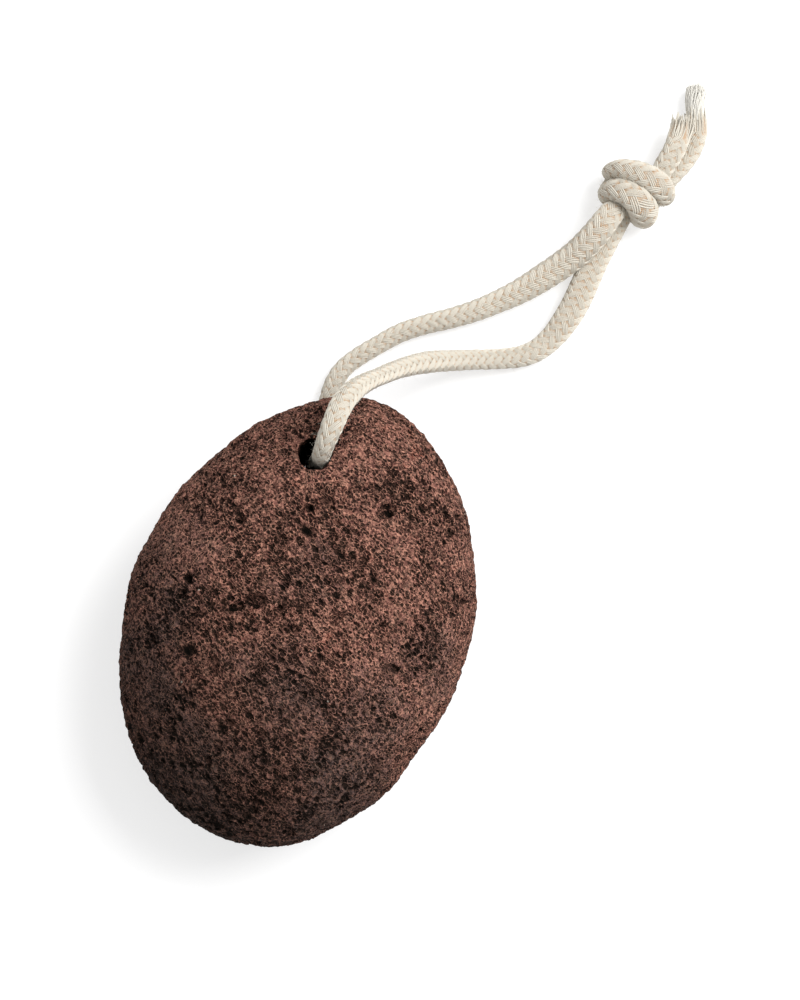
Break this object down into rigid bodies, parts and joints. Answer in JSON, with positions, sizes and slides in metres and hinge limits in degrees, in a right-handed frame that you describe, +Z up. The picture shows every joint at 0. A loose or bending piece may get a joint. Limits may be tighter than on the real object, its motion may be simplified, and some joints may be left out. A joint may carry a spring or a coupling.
{
  "type": "pumice stone",
  "caption": "Egg-shaped foot stone of pitted reddish brown lava pumice, bored near its narrow end, with a knotted loop of braided cotton cord to hang it by",
  "frame": {"origin": "the middle of the stone's plan, on the surface that it lies on", "axes": "+Y along the stone towards its narrow, bored end; +Z up through its thickness; +X across it, to the side where the cord lies"},
  "size_m": [0.0838, 0.1746, 0.0397],
  "materials": {
    "lava_pumice": "rough, open-pored, matt",
    "cotton_braid": "undyed braided cotton"
  },
  "bodies": {
    "root": {"stone": "lava_pumice", "cord_front": "cotton_braid", "cord_back": "cotton_braid", "cord_knot": "cotton_braid", "cord_end_long": "cotton_braid", "cord_end_short": "cotton_braid"}
  },
  "joints": []
}
